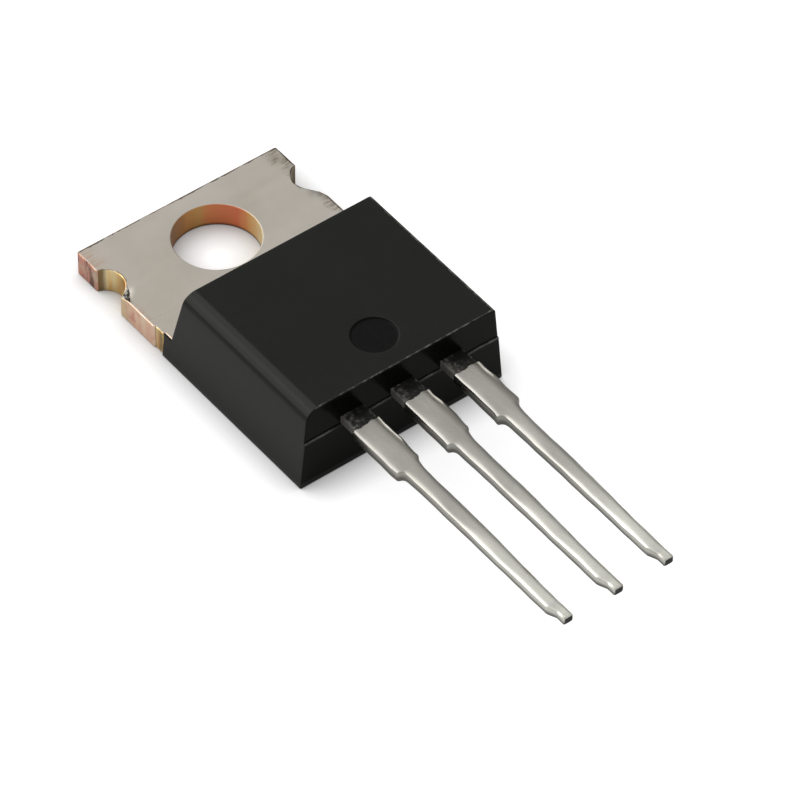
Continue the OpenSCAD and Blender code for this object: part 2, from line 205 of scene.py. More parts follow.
class Finish:
    """Procedural material round one Principled shader. Patterns read Object coordinates in
    millimetres; constants go straight on the shader's sockets."""

    def __init__(self, name, **sockets):
        self.material = bpy.data.materials.new(name)
        self.material.use_nodes = True
        self.tree = self.material.node_tree
        self.shader = self.tree.nodes["Principled BSDF"].inputs
        for socket, value in sockets.items():
            self.shader[socket.replace("_", " ")].default_value = value
        self.object_place = self.tree.nodes.new("ShaderNodeTexCoord").outputs["Object"]

    def node(self, kind, **settings):
        made = self.tree.nodes.new("ShaderNode" + kind)
        for key, value in settings.items():
            setattr(made, key, value)
        return made

    def place(self, scale=(1, 1, 1), centre=(0, 0, 0)):
        """Millimetres from centre, times scale along each axis."""
        made = self.node("Mapping")
        made.inputs["Location"].default_value = [-c * s for c, s in zip(centre, scale)]
        made.inputs["Scale"].default_value = [s / MM for s in scale]
        self.tree.links.new(self.object_place, made.inputs["Vector"])
        return made.outputs["Vector"]

    def noise(self, scale, detail=4, rough=0.55, stretch=(1, 1, 1)):
        made = self.node("TexNoise")
        self.tree.links.new(self.place(stretch), made.inputs["Vector"])
        for key, value in (("Scale", scale), ("Detail", detail), ("Roughness", rough)):
            made.inputs[key].default_value = value
        return made.outputs["Fac"]

    def ramp(self, factor, *stops):
        """Stops are (place, grey) or (place, colour)."""
        made = self.node("ValToRGB")
        band = made.color_ramp
        while len(band.elements) < len(stops):
            band.elements.new(0.5)
        for element, (where, colour) in zip(band.elements, stops):
            element.position = where
            element.color = (*colour, 1) if isinstance(colour, tuple) else (colour, colour, colour, 1)
        self.tree.links.new(factor, made.inputs["Fac"])
        return made.outputs["Color"]

    def mix(self, factor, first, second):
        made = self.node("Mix", data_type="RGBA")
        for number, value in ((0, factor), (6, first), (7, second)):
            feed(self.tree, made.inputs[number], (*value, 1) if isinstance(value, tuple) else value)
        return made.outputs[2]

    def plus(self, first, second):
        return calculate(self.tree, "ADD", first, second)

    def times(self, first, second):
        return calculate(self.tree, "MULTIPLY", first, second)

    def larger(self, first, second):
        return calculate(self.tree, "MAXIMUM", first, second)

    def range(self, value, *limits):
        return remap(self.tree, value, *limits)

    def axis(self, name):
        """X, Y or Z of the point in millimetres."""
        made = self.node("SeparateXYZ")
        self.tree.links.new(self.place(), made.inputs[0])
        return made.outputs[name]

    def along(self, name, *limits):
        """The range of X, Y or Z."""
        return self.range(self.axis(name), *limits)

    def spot(self, centre, size):
        """1 at centre, falling to 0 at size (a radius along each axis), in millimetres."""
        ball = self.node("TexGradient", gradient_type="SPHERICAL")
        self.tree.links.new(self.place([1 / s for s in size], centre), ball.inputs["Vector"])
        return ball.outputs["Fac"]

    def local_x(self):
        """X measured from the middle of the nearest lead."""
        return calculate(self.tree, "WRAP", self.axis("X"), PITCH / 2, -PITCH / 2)

    def away(self, x, y):
        """Distance in the plane from the upright line at (x, y)."""
        gaps = self.plus(self.axis("X"), -x), self.plus(self.axis("Y"), -y)
        return calculate(self.tree, "POWER", self.plus(*(self.times(gap, gap) for gap in gaps)), 0.5)

    def bump(self, *heights):
        """Stacks bumps: each is (height, strength, distance in millimetres)."""
        for height, strength, distance in heights:
            made = self.node("Bump")
            made.inputs["Strength"].default_value = strength
            made.inputs["Distance"].default_value = distance * MM
            self.tree.links.new(height, made.inputs["Height"])
            if self.shader["Normal"].is_linked:
                self.tree.links.new(self.shader["Normal"].links[0].from_socket, made.inputs["Normal"])
            self.tree.links.new(made.outputs["Normal"], self.shader["Normal"])

    def wear(self, colour, rough):
        self.tree.links.new(colour, self.shader["Base Color"])
        self.tree.links.new(rough, self.shader["Roughness"])
        return self.material


def grained(name, grain, tones, dullness, relief, **sockets):
    """Plain finish: one noise (scale, detail, roughness and stretch) sets its colour by tones, its
    roughness by dullness, and its relief (strength and depth)."""
    f = Finish(name, **sockets)
    pattern = f.noise(*grain)
    f.bump((pattern, *relief))
    return f.wear(f.ramp(pattern, *tones), f.ramp(pattern, *dullness))


def moulded_epoxy():
    """Filled black resin: a near-black body under a thin even sheen, slightly clouded."""
    f = Finish("black_moulded_epoxy", Specular_IOR_Level=0.25, Specular_Tint=(1, 1, 0.92, 1))
    cloudy = f.noise(0.35, 3)
    grain = f.noise(7, 5, 0.6)
    colour = f.ramp(cloudy, (0.3, (0.0026, 0.003, 0.0022)), (0.7, (0.0046, 0.005, 0.0038)))
    rough = f.ramp(f.noise(2.5, 4), (0.25, 0.2), (0.75, 0.27))
    f.bump((grain, 0.2, 0.008), (f.noise(24, 3), 0.15, 0.004))
    return f.wear(colour, rough)


def shaded_lead_side_resin():
    """The end wall that the leads leave by: the same black resin with less sheen and a slightly darker tone,
    a painted shade that keeps this wall darker than the top; a little smoother.
    """
    f = Finish("shaded_lead_side_resin", Specular_IOR_Level=0.09, Specular_Tint=(1, 1, 0.9, 1))
    grain = f.noise(5, 5, 0.6)
    f.bump((grain, 0.15, 0.008))
    return f.wear(
        f.ramp(f.noise(0.6, 3), (0.3, (0.0026, 0.003, 0.0022)), (0.7, (0.004, 0.0044, 0.0034))),
        f.ramp(grain, (0.3, 0.17), (0.7, 0.25)),
    )


def ejector_polish():
    """Floor of the round mark: resin pressed on the ejector pin's turned end."""
    tones = (0.3, (0.003, 0.0033, 0.0028)), (0.7, (0.0045, 0.0048, 0.0042))
    dullness = (0.3, 0.22), (0.7, 0.3)
    return grained("ejector_pin_polish", (5, 4), tones, dullness, (0.12, 0.006), Specular_IOR_Level=0.09)


def flash_lip_and_rim_highlight():
    """Resin flash on the lip under the parting line and on the front rim: torn thin, so it looks grey
    in short stretches. Along the right edge the same grey is a painted highlight on the rim."""
    tones = (0.42, (0.006, 0.006, 0.005)), (0.52, (0.05, 0.051, 0.045)), (0.62, (0.14, 0.14, 0.125))
    dullness = (0.3, 0.5), (0.7, 0.4)
    return grained("resin_flash_and_rim_highlight", (2.6, 5, 0.7), tones, dullness, (0.3, 0.01), Specular_IOR_Level=0.3)


def parting_flash_and_highlight():
    """Thin skin of resin squeezed out along the parting line, paler than the moulding; the paleness is partly
    a painted highlight on the line's edge.
    """
    tones = (0.38, (0.06, 0.06, 0.053)), (0.52, (0.17, 0.17, 0.155)), (0.66, (0.3, 0.3, 0.28))
    dullness = (0.3, 0.6), (0.7, 0.5)
    return grained("parting_line_flash_and_highlight", (1.4, 5, 0.65), tones, dullness, (0.3, 0.01), Specular_IOR_Level=0.3)


def nickel_plate():
    """Warm satin plate: faint rolling lines across, clouding, strokes of scuffed metal along the
    sides, a broken dark line of painted shade along the rims, a crumple at the left notch in painted shade
    and glints, and a score near the moulding."""
    f = Finish("warm_nickel_plate", Metallic=1.0)
    cloudy = f.noise(0.3, 4, 0.6)
    rolled = f.noise(2.6, 5, 0.6, (0.16, 1, 1))
    colour = f.ramp(cloudy, (0.32, (0.535, 0.49, 0.423)), (0.68, (0.607, 0.566, 0.504)))
    strokes = f.ramp(f.noise(9, 5, 0.75, (0.16, 1, 1)), (0.4, 0.0), (0.62, 1.0))
    blotch = f.noise(1.6, 4, 0.65)
    left = f.larger(f.spot((-5.15, 2.2, 1.2), (1.1, 1.7, 1)), f.spot((-5.2, -1.6, 1.2), (0.45, 1.5, 1)))
    left = f.times(f.ramp(f.times(left, blotch), (0.12, 0.0), (0.36, 1.0)), strokes)
    colour = f.mix(left, colour, (0.56, 0.4, 0.3))
    right = f.larger(f.spot((5.15, 2.0, 1.2), (1.0, 2.0, 1)), f.spot((5.2, -1.1, 1.2), (0.7, 1.2, 1)))
    right = f.times(f.ramp(f.times(right, blotch), (0.08, 0.0), (0.3, 1.0)), strokes)
    colour = f.mix(right, colour, (0.2, 0.165, 0.115))
    # painted shade: a broken dark line along the far end, the right side and round the notches, where the
    # burr shades the plate
    rims = f.larger(
        f.along("Y", TAB_END - 0.17, TAB_END - 0.06), f.along("X", TAB_W / 2 - 0.17, TAB_W / 2 - 0.06)
    )
    for side in (-1, 1):
        rims = f.larger(rims, f.range(f.away(side * NOTCH_X, NOTCH_Y), NOTCH_R + 0.13, NOTCH_R + 0.05))
    painted_rim_shade = f.ramp(f.plus(f.noise(1.7, 5, 0.7), f.times(rims, 0.5)), (0.86, 0.0), (0.98, 1.0))
    colour = f.mix(painted_rim_shade, colour, (0.12, 0.095, 0.07))
    # crumpled metal at the left notch: a black fold of painted shade with painted glints on its crests, over
    # a real bump
    streak = f.plus(f.plus(f.axis("X"), 0.2), f.times(f.axis("Y"), -0.42))
    streak = f.plus(streak, f.times(f.noise(3.5, 3, 0.7), 0.3))
    near = f.times(f.range(streak, -4.84, -4.6), f.range(streak, -4.26, -4.36))
    near = f.times(near, f.spot((-4.93, -0.35, 1.1), (0.6, 0.85, 0.6)))
    fold = f.times(near, f.noise(2.6, 3, 0.6, (1, 0.5, 1)))
    crumple_shade_and_glint = f.ramp(fold, (0.1, 0.0), (0.15, 1.0))
    crease_shade_and_glint = f.noise(3.2, 3, 0.6, (1.4, 0.4, 1))
    colour = f.mix(crumple_shade_and_glint, colour, f.ramp(crease_shade_and_glint, (0.5, (0.035, 0.032, 0.027)), (0.62, (0.75, 0.7, 0.6))))
    # a score that runs in from the left edge and fades out
    line = f.plus(f.axis("Y"), f.times(f.axis("X"), 0.1))
    score = f.range(f.plus(line, f.times(f.noise(1.2, 2), 0.14)), -2.72, -2.52)
    score = f.ramp(score, (0.42, 0.0), (0.5, 1.0), (0.58, 0.0))
    score = f.times(score, f.ramp(f.along("X", -5.2, -3.2), (0.05, 1.0), (0.95, 0.0)))
    colour = f.mix(f.times(score, 0.55), colour, (0.25, 0.23, 0.2))
    rough = f.ramp(rolled, (0.3, 0.3), (0.7, 0.38))
    f.bump((rolled, 0.08, 0.01), (score, 0.4, 0.02), (fold, 0.8, 0.1), (f.noise(14, 3), 0.08, 0.004))
    return f.wear(colour, rough)


def sheared_copper():
    """Punched side: smooth pink copper with a few darker vertical drags and patches, olive next to
    the notch, and redder and browner beyond it."""
    f = Finish("sheared_copper", Metallic=1.0)
    drag = f.noise(3.2, 4, 0.6, (1, 1, 0.15))
    patch = f.noise(1.6, 3, 0.6)
    colour = f.ramp(drag, (0.25, (0.8, 0.48, 0.33)), (0.5, (0.97, 0.68, 0.5)), (0.75, (1.0, 0.84, 0.66)))
    colour = f.mix(f.along("Y", -1.1, -0.5, 0.0, 0.7), colour, (0.8, 0.66, 0.4))
    end = f.along("Y", 0.9, 1.7, -0.08, 0.1)
    colour = f.mix(f.along("Y", 1.1, 1.4, 0.0, 0.65), colour, (0.6, 0.46, 0.36))
    colour = f.mix(f.ramp(f.plus(patch, end), (0.46, 0.0), (0.6, 0.8)), colour, (0.72, 0.29, 0.22))
    dark = f.ramp(f.plus(f.noise(2.1, 4, 0.7, (1, 1, 0.3)), end), (0.6, 0.0), (0.68, 0.8))
    colour = f.mix(dark, colour, (0.1, 0.06, 0.045))
    f.bump((drag, 0.2, 0.02), (f.noise(18, 4), 0.15, 0.006))
    return f.wear(colour, f.ramp(drag, (0.3, 0.42), (0.7, 0.3)))


def golden_copper():
    """Walls that weren't sheared off: streaky golden copper, darkened on the right as painted shade,
    with olive drags next to the moulding and brown corners."""
    f = Finish("golden_copper", Metallic=1.0)
    streaks = f.noise(2.6, 4, 0.6, (1, 1, 0.12))
    colour = f.ramp(streaks, (0.3, (0.78, 0.4, 0.13)), (0.46, (0.98, 0.68, 0.3)), (0.68, (1.0, 0.88, 0.54)))
    # painted shade: the right notch's wall and the strip beside it darker from x = 4.0 to 4.5 on
    colour = f.mix(f.along("X", 4.0, 4.5), colour, (0.22, 0.17, 0.08))
    drags = f.ramp(f.noise(5, 4, 0.7, (1, 1, 0.1)), (0.4, 0.0), (0.55, 1.0))
    colour = f.mix(f.times(f.along("Y", -2.7, -3.15), drags), colour, (0.13, 0.105, 0.05))
    # brown in the corner where the shear ended and in the notch's far corner
    corner = f.times(
        f.along("Y", SHEAR_END - 0.1, SHEAR_END - 0.05), f.along("Y", SHEAR_END + 0.1, SHEAR_END + 0.05)
    )
    corner = f.larger(corner, f.along("Y", 1.18, 1.3))
    colour = f.mix(f.times(corner, 0.8), colour, (0.14, 0.08, 0.03))
    f.bump((streaks, 0.2, 0.02))
    return f.wear(colour, f.ramp(streaks, (0.3, 0.38), (0.7, 0.26)))


def browned_edge():
    """Rolled-over rim of the plate, browned in stretches."""
    tones = (0.4, (0.1, 0.075, 0.05)), (0.55, (0.3, 0.25, 0.18)), (0.68, (0.62, 0.54, 0.44))
    dullness = (0.3, 0.35), (0.7, 0.45)
    return grained("browned_rim", (1.3, 4, 0.65), tones, dullness, (0.2, 0.01), Metallic=1.0)


def bore_copper():
    """Hole wall: copper that turns from brown over orange red to gold from one side to the other,
    with drags along the punch's way and a darker breakout band low down."""
    f = Finish("punched_bore_copper", Metallic=0.55)
    drag = f.noise(2.4, 4, 0.6, (1, 1, 0.15))
    across = f.plus(f.times(f.axis("X"), 0.787), f.times(f.axis("Y"), -0.617))
    place = f.range(f.plus(across, f.times(drag, 0.6)), -1.62, 2.22)
    colour = f.ramp(
        place, (0.0, (0.5, 0.3, 0.14)), (0.15, (0.8, 0.42, 0.14)), (0.3, (0.86, 0.52, 0.18)),
        (0.4, (1.0, 0.38, 0.16)), (0.72, (1.0, 0.29, 0.14)), (0.84, (1.0, 0.58, 0.2)),
        (1.0, (1.0, 0.86, 0.48)),
    )
    low = f.along("Z", 0.02, 0.17, 0.9, 0.0)
    colour = f.mix(low, colour, (0.16, 0.07, 0.035))
    f.bump((drag, 0.2, 0.02))
    return f.wear(colour, f.ramp(drag, (0.3, 0.4), (0.7, 0.28)))


def bare_root_metal():
    """Lead between the moulding and its solder: black with a film of resin, through which metal
    shows in specks, mostly along both edges and on the left."""
    f = Finish("flash_stained_root", Specular_IOR_Level=0.35)
    specks = f.noise(5, 6, 0.75)
    across = calculate(f.tree, "PINGPONG", f.axis("X"), PITCH / 2)
    edge = f.range(across, WIDE - 0.14, WIDE - 0.02, 0.0, 0.12)
    paler_side = f.range(f.local_x(), 0.15, -0.3, -0.02, 0.12)
    colour = f.ramp(
        f.plus(f.plus(specks, edge), paler_side), (0.5, (0.011, 0.011, 0.01)), (0.6, (0.045, 0.044, 0.04)),
        (0.72, (0.22, 0.21, 0.19)),
    )
    f.bump((specks, 0.4, 0.02))
    return f.wear(colour, f.ramp(specks, (0.4, 0.45), (0.7, 0.3)))


def dipped_tin():
    """Bright solder that froze as it ran off: broad soft waves along the lead, faint spots."""
    f = Finish("dipped_bright_tin", Metallic=1.0)
    flow = f.noise(1.1, 3, 0.5, (1, 0.35, 1))
    spots = f.noise(2.2, 3, 0.5, (1, 0.5, 1))
    colour = f.ramp(flow, (0.3, (0.46, 0.443, 0.398)), (0.7, (0.57, 0.553, 0.508)))
    colour = f.mix(f.along("Y", -18, -25), colour, (0.88, 0.87, 0.79))
    colour = f.mix(f.ramp(spots, (0.55, 0.0), (0.7, 0.3)), colour, (0.42, 0.41, 0.38))
    # painted shade: the lower flanks and the underside darker, as the dark reflection the flanks show
    painted_dark_flank = f.range(f.plus(f.axis("Z"), f.times(flow, 0.1)), 2.9, 2.72)
    colour = f.mix(painted_dark_flank, colour, (0.2, 0.19, 0.17))
    # darker along the right edge: dross in places, and painted shade on the flank turned from the light
    right = f.range(f.plus(f.local_x(), f.times(f.noise(1.5, 4, 0.6, (1, 0.3, 1)), 0.3)), 0.36, 0.56)
    colour = f.mix(f.times(right, 0.45), colour, (0.2, 0.18, 0.14))
    # olive flux residue along the right edge near the tips
    near_tip = f.times(f.range(f.local_x(), 0.1, 0.2), f.along("Y", -22.5, -23.8))
    residue = f.times(near_tip, f.ramp(f.noise(3, 4, 0.7, (1, 0.4, 1)), (0.42, 0.0), (0.56, 0.75)))
    colour = f.mix(residue, colour, (0.3, 0.26, 0.13))
    f.bump((flow, 0.25, 0.03), (spots, 0.1, 0.02))
    return f.wear(colour, f.ramp(spots, (0.3, 0.24), (0.7, 0.31)))


def tip_metal():
    """Sheared end of a lead: brown metal, torn downwards, with lighter flecks."""
    tones = (0.35, (0.07, 0.055, 0.04)), (0.6, (0.25, 0.18, 0.12)), (0.72, (0.7, 0.6, 0.45))
    torn, dullness = (9, 4, 0.6, (1, 1, 0.3)), ((0.3, 0.5), (0.7, 0.4))
    return grained("sheared_lead_tip", torn, tones, dullness, (0.4, 0.02), Metallic=1.0)


def silicon():
    """Polished die: blue grey, with the faint grain of its cells."""
    f = Finish("polished_silicon", Metallic=0.7)
    cells = f.noise(14, 2, 0.4)
    return f.wear(
        f.ramp(cells, (0.4, (0.11, 0.12, 0.15)), (0.6, (0.16, 0.17, 0.21))),
        f.ramp(cells, (0.3, 0.12), (0.7, 0.2)),
    )


def soft_solder():
    """Dull grey solder under the die."""
    tones, dullness = ((0.3, (0.42, 0.42, 0.41)), (0.7, (0.56, 0.56, 0.55))), ((0.3, 0.35), (0.7, 0.5))
    return grained("dull_soft_solder", (8, 5, 0.6), tones, dullness, (0.3, 0.02), Metallic=1.0)


def drawn_aluminium():
    """Bond wire: pale metal with fine lines along the way it was drawn."""
    tones, dullness = ((0.3, (0.76, 0.76, 0.77)), (0.7, (0.84, 0.84, 0.85))), ((0.3, 0.25), (0.7, 0.38))
    return grained("drawn_aluminium", (10, 4, 0.6, (1, 0.1, 1)), tones, dullness, (0.2, 0.01), Metallic=1.0)


epoxy, pin_polish, shaded_front_resin = moulded_epoxy(), ejector_polish(), shaded_lead_side_resin()
flash_and_rim_highlight, flash_line_and_highlight = flash_lip_and_rim_highlight(), parting_flash_and_highlight()
plate, sheared, golden, bore = nickel_plate(), sheared_copper(), golden_copper(), bore_copper()
burnt_edge = browned_edge()
root_metal, tin, tip_end = bare_root_metal(), dipped_tin(), tip_metal()


# ---------------------------------------------------------------- heat tab


def heat_tab():
    """Plate whose section runs up the hole's wall, out over the top face, down the outer wall and
    back under the plate; each row is the outline moved inwards along its normals, or a blend of the
    outline and the hole's circle at the same bearing. The corner below each notch is pressed down."""
    reach = math.sqrt(NOTCH_R**2 - (NOTCH_X - TAB_W / 2) ** 2)
    half_open = math.atan2(reach, NOTCH_X - TAB_W / 2)
    sweep = np.linspace(math.pi + half_open, math.pi - half_open, 41)[1:-1]
    notch = [(NOTCH_X + NOTCH_R * math.cos(a), NOTCH_Y + NOTCH_R * math.sin(a), 0) for a in sweep]
    side = TAB_W / 2
    right = [
        (PAD_X, PAD_Y, 0.1), (PAD_X, NECK_Y, 0.06), (NECK_X, NECK_Y, 0.06), (NECK_X, CHEEK_Y, 0.04),
        (STRIP_X, CHEEK_Y, 0.06), (STRIP_X, SHEAR_END - 0.03, 0.02), (side, SHEAR_END + 0.03, 0.06),
        (side, NOTCH_Y - reach, 0.07), *notch, (side, NOTCH_Y + reach, 0.07), (side, TAB_END, 0.1),
    ]
    left = [(-x, y, r) for x, y, r in right[::-1]]
    plan, out = outline(right + left, 0.12)
    bearing = np.arctan2(plan[:, 1], plan[:, 0])
    circle = np.stack([np.cos(bearing), np.sin(bearing)], -1)
    roll_in, roll_down = quarter(ROLL_R, 3)
    rim_in, rim_down = quarter(RIM_R, 3)
    foot_in, foot_down = quarter(FOOT_R, 2)
    on_face, on_cut, on_bore, on_gold, on_roll = range(5)
    rows, heights, zones = [], [], []

    def row(points, height, zone):
        rows.append(points)
        heights.append(np.full(len(plan), height))
        zones.append(np.full(len(plan), zone))

    # the hole's wall, up
    for inwards, down in zip(foot_in[::-1], foot_down[::-1]):
        row(circle * (HOLE_R + inwards), down, on_bore)
    for height in np.linspace(0.12, TAB_T - 0.12, 7):
        row(circle * HOLE_R, height, on_bore)
    for inwards, down in zip(rim_in, rim_down):
        row(circle * (HOLE_R + inwards), TAB_T - down, on_bore if down > 0.01 else on_face)
    # the top face, outwards
    inner = circle * (HOLE_R + BAND)
    rim = plan - out * ROLL_R - circle * BAND
    for share in (0, 0.08, 0.2, 0.35, 0.5, 0.65, 0.8, 0.92, 1):
        row(inner * (1 - share) + rim * share, TAB_T, on_face)
    for inwards, down in zip(roll_in[::-1], roll_down[::-1]):
        row(plan - out * inwards, TAB_T - down, on_roll)
    # the outer wall, down; the pad's lower half is narrower
    under = (np.abs(plan[:, 0]) < PAD_X + 0.01) & (plan[:, 1] < NECK_Y - 0.02)
    shrink = np.stack([np.sign(plan[:, 0]) * np.where(under, PAD_X - PAD_LOW_X, 0), np.zeros(len(plan))], -1)
    shrink[np.abs(plan[:, 0]) < PAD_X - 0.2] = 0
    for height in (1.05, 0.85, LOCK_H + 0.02):
        row(plan, height, on_cut)
    for height in (LOCK_H, 0.35, 0.15, 0.06):
        row(plan - shrink, height, on_cut)
    for inwards, down in zip(foot_in, foot_down):
        row(plan - shrink - out * inwards, down, on_cut)
    # the back face, inwards
    rim = plan - shrink - out * FOOT_R - circle * BAND
    inner = circle * (HOLE_R + 0.1)
    for share in (0, 0.1, 0.3, 0.5, 0.7, 0.9, 1):
        row(rim * (1 - share) + inner * share, 0, on_face)
    points = np.stack(rows)
    z = np.stack(heights)
    # the pressed-down corners: below a plane hinged across each corner, fading out downwards
    corner_y = NOTCH_Y - reach
    roll = math.radians(20)
    foot = np.array([side, corner_y - ROLL_LENGTH])
    head = np.array([NOTCH_X - NOTCH_R * math.cos(roll), NOTCH_Y - NOTCH_R * math.sin(roll)])
    hinge = (head - foot) / np.linalg.norm(head - foot)
    mirrored = np.stack([np.abs(points[..., 0]), points[..., 1]], -1) - foot
    beyond = mirrored[..., 0] * hinge[1] - mirrored[..., 1] * hinge[0]
    near = (points[..., 1] < NOTCH_Y - 0.2) & (points[..., 1] > corner_y - ROLL_LENGTH)
    slope = ROLL_DEPTH / (ROLL_LENGTH * abs(hinge[0]))
    press = np.where(near, np.clip(beyond, 0, 1), 0) * slope * np.clip((z - 0.6) / 0.5, 0, 1)
    grid = np.concatenate([points, (z - press)[..., None]], -1)
    # the left rims aren't browned; golden metal on the notch walls and on the strip beyond the shear
    place = np.stack(zones)
    x, y = np.abs(plan[:, 0]), plan[:, 1]
    in_notch = (np.hypot(x - NOTCH_X, y - NOTCH_Y) < NOTCH_R + 0.01) & (x < side - 0.05)
    strip = (y < SHEAR_END) & (x > STRIP_X - 0.05)
    place = np.where((place == on_roll) & (out[:, 0] < -0.3), on_cut, place)
    place = np.where((place == on_cut) & (in_notch | strip), on_gold, place)
    finishes = [plate, sheared, bore, golden, burnt_edge]
    skin("heat_tab", grid, finishes, ["drain_frame"], place, ring=True)


# ---------------------------------------------------------------- moulding


def moulding():
    """Stack of rounded rectangles: half width, front and back are functions of height, and the
    side walls end in arcs, a wide one on the left and a tighter one on the right. The top face is
    a blend of the last rectangle and the ejector mark's circle; below, the stack turns in over the
    back face to the edge of the metal."""
    # pairs of columns close together, where the resin steps beside the metal
    pair = np.array([-0.001, 0.001])
    steps = np.concatenate([AT_NECK + pair, AT_STRIP + pair])
    along, out = ring_places(72, 84, 6, np.concatenate([-steps, steps]), AT_CHEEK + pair)
    corner = np.where(along[:, 1] < 0, 0.05, 0.04)[:, None]
    to_right = (1 + along[:, 0]) / 2

    def side(z):
        return BODY_W / 2 - SIDE_SLOPE * z

    def front(z):
        upper = LOWER_DRAFT * PARTING_Z - SCENE_LEDGE - UPPER_DRAFT * (z - PARTING_Z)
        return BODY_FRONT + np.where(z <= PARTING_Z, LOWER_DRAFT * z, upper)

    def back(z):
        return np.where(z < TAB_T, -CHEEK_Y, BODY_BACK + BACK_SLOPE * z)

    def level(z, left=None, right=None, inset=0.0, nip=0.0):
        """Rounded rectangle at height z: reaches to the sides, drawn in by inset, ends nipped."""
        left, right = (side(z) if reach is None else reach for reach in (left, right))
        ends = np.broadcast_to(front(z) - nip, to_right.shape), np.broadcast_to(back(z) + nip, to_right.shape)
        middle = np.stack([np.broadcast_to((right - left) / 2, to_right.shape), -(ends[0] + ends[1]) / 2], -1)
        half = np.stack([np.broadcast_to((right + left) / 2, to_right.shape), (ends[0] - ends[1]) / 2], -1)
        return middle + along * (half - corner) + out * (corner - inset)

    rows, heights, kinds = [], [], []

    def row(points, height, kind=""):
        rows.append(points)
        heights.append(np.broadcast_to(np.asarray(height, float), to_right.shape))
        kinds.append(kind)

    base = level(0.0)
    at_back = (out[:, 1] > 0.5) & (np.abs(along[:, 0]) < AT_NECK)
    # edge of the metal in the back face: nearest place on the tab's neck or the pad
    limit = np.where(base[:, 1] > NECK_Y, NECK_X, PAD_LOW_X)
    metal = np.stack([np.clip(base[:, 0], -limit, limit), np.clip(base[:, 1], PAD_Y, CHEEK_Y)], -1)
    row(metal, SUNK)
    row(metal, np.where(at_back, SUNK, 0))
    row(level(0.0, inset=0.1), np.where(at_back, SUNK, 0))
    for inwards, up in zip(*(half[::-1] for half in quarter(0.06, 3))):
        row(level(up, inset=inwards), np.where(at_back, SUNK, up))
    for z in (SUNK, 0.6, 0.9, TAB_T - 0.03):
        row(level(z), z, "wall")
    # over the cheeks the stack steps in to the back wall, and at the tab it dips into the metal
    sunk = np.where((out[:, 1] > 0.5) & (np.abs(along[:, 0]) < AT_STRIP), TAB_T - 0.1, TAB_T)
    row(level(TAB_T - 0.001), sunk, "wall")
    for z in (TAB_T, TAB_T + 0.02, 1.6, 2.0, 2.3, PARTING_Z - 0.07):
        row(level(z), sunk if z == TAB_T else z, "wall")
    # parting line, a little wavy: the lower half's lip and the ledge over it
    wavy = (0.013 * np.sin(base[:, 0] * 1.7 + 1) + 0.01 * np.sin(base[:, 0] * 4.9)) * (out[:, 1] < -0.5)
    row(level(PARTING_Z - 0.04), PARTING_Z - 0.04 + wavy, "lip")
    row(level(PARTING_Z - 0.01, nip=-0.012), PARTING_Z - 0.01 + wavy, "ledge")
    row(level(PARTING_Z), PARTING_Z + wavy, "ledge")
    row(level(PARTING_Z + 0.004), PARTING_Z + 0.004 + wavy, "wall")
    for z in (PARTING_Z + 0.04, 3.0):
        row(level(z), z, "wall")
    # long edges and the crisp rim of the ends, chipped here and there at the front
    chips = np.exp(-(((base[:, 0][:, None] - CHIP_X) / CHIP_HALF) ** 6)).sum(1) * (out[:, 1] < -0.5)
    chips *= 0.5 + 0.5 * np.sin(base[:, 0] * 41) * np.sin(base[:, 0] * 97 + 1)
    paler_side = []  # rows whose right edge takes the flash grey, a painted highlight along that rim
    for turn in np.linspace(math.atan(SIDE_SLOPE), math.pi / 2, 20):
        reach, height = [], []
        for radius in (EDGE_LEFT, EDGE_RIGHT):
            centre = side(BODY_H - radius) - radius / math.cos(math.atan(SIDE_SLOPE))
            reach.append(centre + radius * math.cos(turn))
            height.append(BODY_H - radius + radius * math.sin(turn))
        z = height[0] + (height[1] - height[0]) * to_right
        rise = np.clip(z - (BODY_H - CRISP), 0, CRISP)
        nip = CRISP - np.sqrt(CRISP**2 - rise**2)
        if 30 < math.degrees(turn) < 80:
            paler_side.append(len(rows))
        kind = "lip" if height[0] > BODY_H - CRISP else "wall"
        row(level(z, *reach, nip=nip), z - 0.02 * chips * (0 < nip.max() < CRISP), kind)
    top = level(BODY_H, *reach, nip=CRISP)
    mark = np.array([0, MARK_Y])
    bearing = np.arctan2(*(top - mark).T[::-1])
    circle = np.stack([np.cos(bearing), np.sin(bearing)], -1)
    rim = mark + circle * (MARK_R + 0.06)
    inner = top + (mark - top) * 0.02
    for share in (0, 0.25, 0.5, 0.75, 1):
        row(inner * (1 - share) + rim * share, BODY_H)
    # ejector mark: shares of its radius and of its depth
    shares, depths = (1.02, 1, 0.985, 0.975, 0.95, 0.9, 0.5, 0.1), (0.03, 0.17, 0.5, 0.86, 0.99, 1, 1, 1)
    for share, depth in zip(shares, depths):
        row(mark + circle * MARK_R * share, BODY_H - depth * MARK_DEPTH, "mark")
    grid = np.concatenate([np.stack(rows), np.stack(heights)[..., None]], -1)
    zones = np.zeros(grid.shape[:2], int)
    zones[np.array(kinds) == "mark"] = 1
    # at the front, wall rows take the darker, less shiny resin as painted shade
    for number, kind in ((2, "lip"), (3, "wall"), (4, "ledge")):
        zones[np.ix_(np.array(kinds) == kind, out[:, 1] < -0.5)] = number
    zones[np.ix_(paler_side, out[:, 0] > 0.5)] = 2
    finishes = [epoxy, pin_polish, flash_and_rim_highlight, shaded_front_resin, flash_line_and_highlight]
    skin("moulding", grid, finishes, ["mould_body"], zones)


# ---------------------------------------------------------------- leads


